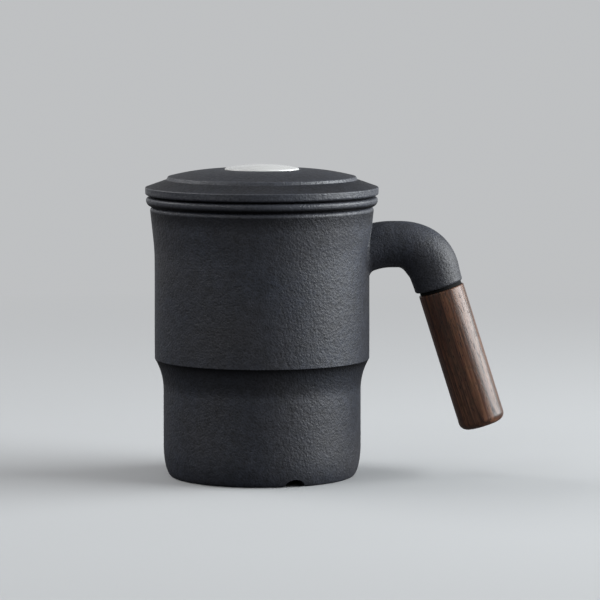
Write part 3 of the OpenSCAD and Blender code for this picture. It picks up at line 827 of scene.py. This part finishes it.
def elbow_sections(settings):
    """Rings of the elbow from the wall, along the neck, round the bend and down the tail."""
    mug, handle = settings.mug, settings.handle
    bend_x = mug.upper_radius + handle.neck_length
    bend_z = handle.neck_height - handle.bend
    bend_turn = math.pi / 2 - handle.grip_tilt
    bend_length = handle.bend * bend_turn
    whole = bend_length + handle.tail_length
    around = even_angles(ELBOW_SIDES)

    def spread(x):
        """How much of its spread the neck has at x."""
        near = max(0.0, mug.upper_radius + handle.spread_length - x) / handle.spread_length
        return near ** 2

    def neck_point(angle, x, grow):
        radius = handle.neck_radius + handle.spread * spread(x) + grow
        middle = handle.neck_height - handle.spread_drop * spread(x)
        return Vector((x, radius * math.sin(angle), middle + radius * math.cos(angle)))

    def fillet(angle):
        """The fillet at the wall, which grows from the neck's top to its underside."""
        low = (1 - math.cos(angle)) / 2
        return handle.fillet_top + (handle.fillet_bottom - handle.fillet_top) * low

    def on_wall(angle, grow):
        """Where the neck's side meets the mug's wall."""
        x, tries = mug.upper_radius, 6
        for _ in range(tries):
            point = neck_point(angle, x, grow)
            x = math.sqrt(wall_radius(mug, point.z) ** 2 - point.y ** 2)
        return x

    rings = []
    fillet_steps, neck_steps, bend_steps, tail_steps, end_steps = 8, 14, 34, 8, 5
    for k in range(fillet_steps + 1):
        open_turn = math.pi / 2 * k / fillet_steps
        ring = []
        for a in around:
            grow = fillet(a) * (1 - math.sin(open_turn))
            x = on_wall(a, grow) + fillet(a) * (1 - math.cos(open_turn)) - SUNK
            ring.append(neck_point(a, x, grow))
        rings.append(ring)
    starts = [p.x for p in rings[-1]]
    for k in range(1, neck_steps):
        part = k / neck_steps
        rings.append([neck_point(a, x + (bend_x - x) * part, 0.0) for a, x in zip(around, starts)])

    def bend_ring(middle, turned_by, at, draw=0.0):
        """A ring at a length from the start of the bend, drawn in for the rounded end."""
        side = handle.neck_radius + (handle.tail_radius - handle.neck_radius) * at / whole - draw
        across = side + handle.bend_swell * math.sin(math.pi * at / whole) ** 2
        up = Vector((math.sin(turned_by), 0.0, math.cos(turned_by)))
        return [middle + up * across * math.cos(a) + Vector((0.0, side * math.sin(a), 0.0))
                for a in around]

    for k in range(bend_steps + 1):
        by = bend_turn * k / bend_steps
        middle = Vector((bend_x + handle.bend * math.sin(by), 0.0,
                         bend_z + handle.bend * math.cos(by)))
        rings.append(bend_ring(middle, by, handle.bend * by))
    end = elbow_end(settings).translation
    ahead = Vector((math.sin(handle.grip_tilt), 0.0, -math.cos(handle.grip_tilt)))
    straight = handle.tail_length - handle.tail_round
    for k in range(1, tail_steps + 1):
        at = straight * k / tail_steps
        rings.append(bend_ring(end - ahead * (handle.tail_length - at), bend_turn,
                               bend_length + at))
    for k in range(1, end_steps + 1):
        by = math.pi / 2 * k / end_steps
        left = handle.tail_round * (1 - math.sin(by))
        rings.append(bend_ring(end - ahead * left, bend_turn, whole - left,
                               handle.tail_round * (1 - math.cos(by))))
    drawn_in = 0.55     # the last ring lies on the flat end, inside its edge
    rings.append(bend_ring(end, bend_turn, whole, handle.tail_radius * drawn_in))
    return rings


def build_elbow(settings, material):
    """The ceramic elbow, swept from the wall to the grip and closed at both ends."""
    rings = elbow_sections(settings)
    verts = [p for ring in rings for p in ring]
    starts = [k * ELBOW_SIDES for k in range(len(rings))]
    faces = [face for low, high in zip(starts, starts[1:]) for face in band(low, high, ELBOW_SIDES)]
    faces.append([starts[-1] + i for i in range(ELBOW_SIDES)])
    faces.append(list(reversed(range(ELBOW_SIDES))))
    piece = finished("glazed_elbow", verts, faces, [0.0] * len(verts))
    dress(piece, material)
    place(piece, "mug", "handle_elbow")


def build_grip(settings, wood):
    """The wood grip, which keeps its own space on its points for the grain along it."""
    handle = settings.handle
    outline = Outline()
    outline.to(0.0, handle.grip_bore_depth)
    outline.to(handle.grip_bore, handle.grip_bore_depth)
    outline.to(handle.grip_bore, 0.0)
    outline.corner(handle.grip_radius, 0.0, handle.grip_top_round, -90, 0, steps=6)
    outline.corner(handle.grip_radius, handle.grip_length, handle.grip_end_round, 0, 90, steps=14)
    outline.to(0.0, handle.grip_length)
    piece = turned("oiled_grip", outline, even_angles(GRIP_SIDES), FINE_STEP)
    mesh = piece.data
    flat = [c for v in mesh.vertices for c in v.co]
    along = mesh.attributes.new("along_grip", "FLOAT_VECTOR", "POINT")
    along.data.foreach_set("vector", flat)
    mesh.transform(grip_line(settings) @ Matrix.Translation((0.0, 0.0, handle.washer)))
    dress(piece, wood)
    place(piece, "mug", "wood_grip")


# --- The lid and its button ---

def lid_outline(lid):
    """The lid's outline, from the middle of its pocket over its brim to that of its hollow."""
    radius = LID_RADIUS
    edge = lid.seat_height + lid.reveal
    brim = edge + lid.edge_height
    riser_low = brim + lid.brim_rise
    riser_radius = radius - lid.brim_width
    dome_low = riser_low + lid.riser_height
    dome_radius = riser_radius - lid.riser_lean
    pocket = BUTTON_HIGH.x + lid.pocket_gap
    top = dome_low + lid.dome_rise
    brim_slope = math.degrees(math.atan(lid.brim_rise / lid.brim_width))
    riser_slope = math.degrees(math.atan(lid.riser_lean / lid.riser_height))
    slope = math.degrees(lid.dome_slope)
    run = dome_radius - pocket
    dome_turn = 2 * (slope - math.degrees(math.atan(lid.dome_rise / run)))
    dome_bend = math.hypot(run, lid.dome_rise) / (2 * sine(dome_turn / 2))
    inner = lid.skirt_radius - lid.skirt_thickness
    ceiling = top - lid.pocket_depth - lid.thickness

    outline = Outline()
    outline.to(0.0, top - lid.pocket_depth)
    outline.to(pocket, top - lid.pocket_depth)
    # Thinner, lighter glaze on the pocket's edge: partly painted highlight.
    outline.corner(pocket, top, lid.pocket_round, 180, 90, (0.0, 0.5, 0.0), 6)
    # Painted shade over the dome.
    outline.arc(dome_radius - dome_bend * sine(slope), dome_low - dome_bend * cosine(slope),
                dome_bend, 90 - slope + dome_turn * 0.95, 90 - slope + dome_turn * 0.06,
                (-0.15, -0.25, -0.2), 24)
    # Thinner, lighter glaze on the riser's top: partly painted highlight.
    outline.corner(dome_radius, dome_low, lid.riser_round, 90 - slope, riser_slope,
                   (0.0, 1.0, 0.9), 6)
    # Lighter glaze at the riser's foot, partly painted highlight, turning into painted shade on the
    # brim.
    outline.corner(riser_radius, riser_low, -lid.riser_foot_round, riser_slope, 90 - brim_slope,
                   (0.8, 0.2, -0.4), 6)
    # Painted shade on the brim.
    for part, glaze in ((0.82, -0.5), (0.10, -0.4)):
        outline.to(radius - lid.brim_width * part, brim + lid.brim_rise * part, glaze)
    # On the edge's roundings: thinner, lighter glaze, partly painted highlight, and painted shade
    # where the lower rounding turns under.
    outline.corner(radius, brim, lid.edge_round, 90 - brim_slope, 0, (0.0, 1.0, 0.7), 6)
    outline.corner(radius, edge, lid.low_round, 0, -90, (0.7, 0.5, -0.8), 8)
    outline.to(radius - lid.reveal_depth, edge)
    outline.to(radius - lid.reveal_depth, lid.seat_height)
    outline.to(lid.skirt_radius, lid.seat_height)
    # Thinner, lighter glaze round the skirt's lower edge: partly painted highlight.
    outline.arc(lid.skirt_radius - lid.skirt_thickness / 2, lid.seat_height - lid.skirt_height,
                lid.skirt_thickness / 2, 0, -180, (0.0, 0.4, 0.0), 14)
    outline.corner(inner, ceiling, -lid.hollow_round, 180, 270)
    outline.to(0.0, ceiling)
    return outline


def build_lid(settings, material):
    """The lid, turned in one piece, half as uneven as the mug."""
    piece = turned("glazed_lid", lid_outline(settings.lid), even_angles(LID_SIDES), WIDE_STEP)
    roughen(piece, settings.mug.unevenness * 0.5)
    dress(piece, material)
    place(piece, "lid_and_button", "lid")


def build_button(settings, material):
    """The white button, crowned over its rounded edge."""
    lid = settings.lid
    radius, low = BUTTON_HIGH.x, BUTTON_LOW.z
    edge = low + lid.pocket_depth + lid.button_stand
    crown = (radius ** 2 + lid.button_crown ** 2) / (2 * lid.button_crown)
    rim_turn = math.degrees(math.asin(radius / crown))
    outline = Outline()
    outline.to(0.0, low)
    outline.corner(radius, low, BUTTON_FOOT_ROUND, -90, 0, steps=4)
    outline.corner(radius, edge, lid.button_round, 0, 90 - rim_turn, steps=8)
    crown_steps, first_part = 20, 0.94
    for i in range(1, crown_steps + 1):
        angle = rim_turn * (1 - i / crown_steps) * first_part
        outline.to(crown * sine(angle), edge + lid.button_crown - crown * (1 - cosine(angle)))
    piece = turned("porcelain_button", outline, even_angles(BUTTON_SIDES), FINE_STEP)
    dress(piece, material)
    place(piece, "lid_and_button", "lid_button")


# --- The studio ---

WHITE = (1.0, 1.0, 1.0)
LAMP_AIM = (0.0, 0.0, 0.06)     # the point that every lamp faces


def seen_ray(tree, where, near, far):
    """1 for a ray that shows the background: from the camera, through glass, or by a reflection of
    what lies behind the mug, from near to far. The room in front and above stays dim, so dark glaze
    stays dark."""
    ray = add(tree, "ShaderNodeLightPath", {}).outputs
    at = add(tree, "ShaderNodeSeparateXYZ", {"Vector": where}).outputs
    behind = times(tree, remap(tree, at["Y"], near, far), remap(tree, at["Z"], 0.45, 0.15))
    mirrored = times(tree, ray["Is Glossy Ray"], behind)
    shown = maths(tree, "MAXIMUM", ray["Is Camera Ray"], ray["Is Transmission Ray"])
    return maths(tree, "MAXIMUM", shown, mirrored)


def floor_material(studio):
    """Pale and even near the mug, and turning into the backdrop far from it."""
    material, tree, shader = surface("studio floor")
    at = object_space(tree)
    seen = seen_ray(tree, at, 0.4, 1.3)
    cloud = clouds(tree, at, 2.0, 3.0)
    tint = mixed(tree, remap(tree, cloud, 0.3, 0.7), studio.floor_colour,
                 shaded(studio.floor_colour, 0.985))
    feed(tree, shader, {"Base Color": mixed(tree, seen, studio.bounce_colour, tint),
                        "Roughness": 0.85, "Specular IOR Level": 0.1})
    far = remap(tree, span(tree, at), 0.18, 0.75)
    glow = add(tree, "ShaderNodeEmission", {"Color": studio.backdrop_colour, "Strength": 1.0})
    both = add(tree, "ShaderNodeMixShader", {0: times(tree, far, seen), 1: shader.outputs[0],
                                             2: glow.outputs[0]})
    feed(tree, tree.nodes["Material Output"], {"Surface": both.outputs[0]})
    return material


def build_floor(studio):
    """One wide, plain, pale floor that keeps the mug's shadow, with finer faces near the mug."""
    steps, sides = 24, 96
    verts = [(0.0, 0.0, 0.0)]
    for k in range(1, steps + 1):
        radius = studio.floor_radius * (k / steps) ** 3
        verts += [(radius * math.cos(a), radius * math.sin(a), 0.0) for a in even_angles(sides)]
    faces = [[0, 1 + i, 1 + (i + 1) % sides] for i in range(sides)]
    for k in range(steps - 1):
        faces += band(1 + k * sides, 1 + (k + 1) * sides, sides)
    mesh = bpy.data.meshes.new("studio_floor")
    mesh.from_pydata(verts, [], faces)
    floor = put("studio_floor", mesh)
    dress(floor, floor_material(studio))


def build_surround(studio):
    """Soft light from all round, which the camera and reflections see as a pale wall."""
    world = bpy.data.worlds.new("studio surround")
    world.use_nodes = True
    tree = world.node_tree
    tree.nodes.clear()
    shown = add(tree, "ShaderNodeBackground", {"Color": studio.backdrop_colour, "Strength": 1.0})
    lit = add(tree, "ShaderNodeBackground", {"Color": studio.sky_colour,
                                             "Strength": studio.sky_strength})
    facing = add(tree, "ShaderNodeTexCoord", {}).outputs["Generated"]
    both = add(tree, "ShaderNodeMixShader", {0: seen_ray(tree, facing, 0.3, 0.9),
                                             1: lit.outputs[0], 2: shown.outputs[0]})
    add(tree, "ShaderNodeOutputWorld", {"Surface": both.outputs[0]})
    bpy.context.scene.world = world


def build_lamps(studio):
    """Soft lamps: a large one on the right, and weaker ones behind, overhead and in front."""
    for name, energy, size, place_at, tint in (
            ("key lamp", studio.key_power, (1.35, 0.80), (1.20, -0.03, 0.50), studio.key_tint),
            ("rim lamp", studio.rim_power, (0.9, 0.8), (-0.90, 0.35, 0.90), WHITE),
            ("top lamp", studio.top_power, (0.9, 0.9), (0.0, 0.15, 1.45), WHITE),
            ("fill lamp", studio.fill_power, (0.9, 0.9), (-0.90, -0.75, 0.60), WHITE)):
        light = bpy.data.lights.new(name, "AREA")
        light.energy = energy
        light.color = tint
        light.shape = "RECTANGLE"
        light.size, light.size_y = size
        face_towards(put(name, light), place_at, LAMP_AIM)


def build_camera(studio):
    """A long lens in front of the mug, a little above it."""
    data = bpy.data.cameras.new("studio camera")
    data.sensor_width = 36.0
    data.lens = studio.lens
    data.clip_start, data.clip_end = 0.05, 60.0
    camera = put("studio camera", data)
    face_towards(camera, (0.0, -studio.camera_distance, studio.camera_height),
                 (studio.aim_side, 0.0, studio.aim_height))
    bpy.context.scene.camera = camera


# --- Operators ---

def mug_stoneware(settings):
    """The stoneware of the mug, the elbow and the lid, made on its first use."""
    name = "black stoneware"
    return bpy.data.materials.get(name) or stoneware(settings.finish, name, kept_highlight_and_shade)


class TEAMUG_OT_grain(bpy.types.Operator):
    """Make the shared grain groups that the finishes use"""

    bl_idname = "teamug.grain"
    bl_label = "Grain groups"

    def execute(self, context):
        sandy_glaze_group()
        long_grain_group()
        return {"FINISHED"}


class TEAMUG_OT_studio(bpy.types.Operator):
    """Make the floor, the soft light, the lamps and the camera"""

    bl_idname = "teamug.studio"
    bl_label = "Studio"

    def execute(self, context):
        studio = context.scene.tea_mug.studio
        context.scene.view_settings.view_transform = "Standard"
        build_camera(studio)
        build_floor(studio)
        build_surround(studio)
        build_lamps(studio)
        return {"FINISHED"}


class TEAMUG_OT_mug(bpy.types.Operator):
    """Turn the stepped mug and cut its drain notches"""

    bl_idname = "teamug.mug"
    bl_label = "Mug"

    def execute(self, context):
        settings = context.scene.tea_mug
        build_mug(settings, mug_stoneware(settings))
        return {"FINISHED"}


class TEAMUG_OT_handle(bpy.types.Operator):
    """Sweep the ceramic elbow, turn the wood grip and finish its fixings"""

    bl_idname = "teamug.handle"
    bl_label = "Handle"

    def execute(self, context):
        settings = context.scene.tea_mug
        finish = settings.finish
        build_elbow(settings, mug_stoneware(settings))
        build_grip(settings, walnut(finish))
        dress(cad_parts["grip_washer"], rubber(finish))
        dress(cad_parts["grip_stud"], turned_metal("stud steel", finish.steel, 0.28))
        dress(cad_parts["grip_insert"], turned_metal("insert brass", finish.brass, 0.32))
        return {"FINISHED"}


class TEAMUG_OT_infuser(bpy.types.Operator):
    """Finish the drilled infuser in the mug's stoneware"""

    bl_idname = "teamug.infuser"
    bl_label = "Infuser"

    def execute(self, context):
        settings = context.scene.tea_mug
        dress(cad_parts["infuser_cup"],
              stoneware(settings.finish, "infuser stoneware", flange_highlight_and_shade))
        return {"FINISHED"}


class TEAMUG_OT_lid(bpy.types.Operator):
    """Turn the domed lid and its white button"""

    bl_idname = "teamug.lid"
    bl_label = "Lid and button"

    def execute(self, context):
        settings = context.scene.tea_mug
        build_lid(settings, mug_stoneware(settings))
        build_button(settings, porcelain(settings.finish))
        return {"FINISHED"}


OPERATORS = (TEAMUG_OT_grain, TEAMUG_OT_studio, TEAMUG_OT_mug, TEAMUG_OT_handle, TEAMUG_OT_infuser,
             TEAMUG_OT_lid)


class TEAMUG_PT_panel(bpy.types.Panel):
    """Lists the steps that build the tea mug"""

    bl_idname = "TEAMUG_PT_panel"
    bl_label = "Tea Mug"
    bl_space_type = "VIEW_3D"
    bl_region_type = "UI"
    bl_category = "Tea Mug"

    def draw(self, context):
        for item in OPERATORS:
            self.layout.operator(item.bl_idname)


CLASSES = (MugShape, HandleShape, LidShape, Finishes, Studio, TeaMug, *OPERATORS, TEAMUG_PT_panel)


def register():
    for item in CLASSES:
        bpy.utils.register_class(item)
    bpy.types.Scene.tea_mug = PointerProperty(type=TeaMug)


def unregister():
    del bpy.types.Scene.tea_mug
    for item in reversed(CLASSES):
        bpy.utils.unregister_class(item)


def main():
    register()
    bpy.ops.teamug.grain()
    bpy.ops.teamug.studio()
    bpy.ops.teamug.mug()
    bpy.ops.teamug.handle()
    bpy.ops.teamug.infuser()
    bpy.ops.teamug.lid()


if __name__ == "__main__":
    main()
